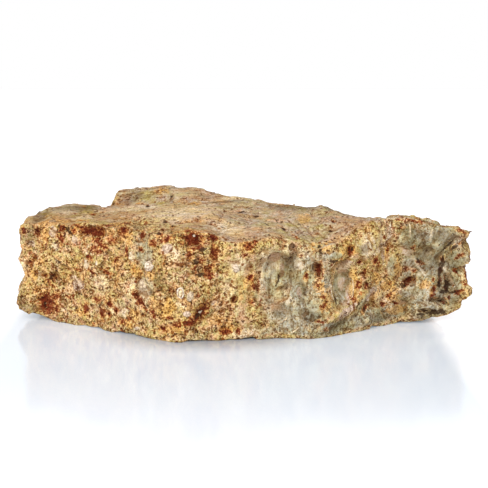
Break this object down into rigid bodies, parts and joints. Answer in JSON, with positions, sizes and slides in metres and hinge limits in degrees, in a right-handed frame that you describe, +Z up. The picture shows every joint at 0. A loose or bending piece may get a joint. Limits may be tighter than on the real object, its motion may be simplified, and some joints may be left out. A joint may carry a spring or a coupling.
{
  "type": "fossiliferous limestone specimen",
  "caption": "Broken slab of shelly, iron-stained limestone with a flat base to rest on, a rough pitted front and a smoother bedding plane on top.",
  "frame": {"origin": "on the resting plane, under the middle of the stone's box", "axes": "+X along the stone's length, to the right as seen from the front; +Y towards the back; +Z up"},
  "size_m": [0.1994, 0.1102, 0.053],
  "materials": {
    "limestone": "rough broken shelly limestone, tan with iron-oxide stains, matte"
  },
  "bodies": {
    "root": {"limestone_slab": "limestone"}
  },
  "joints": []
}
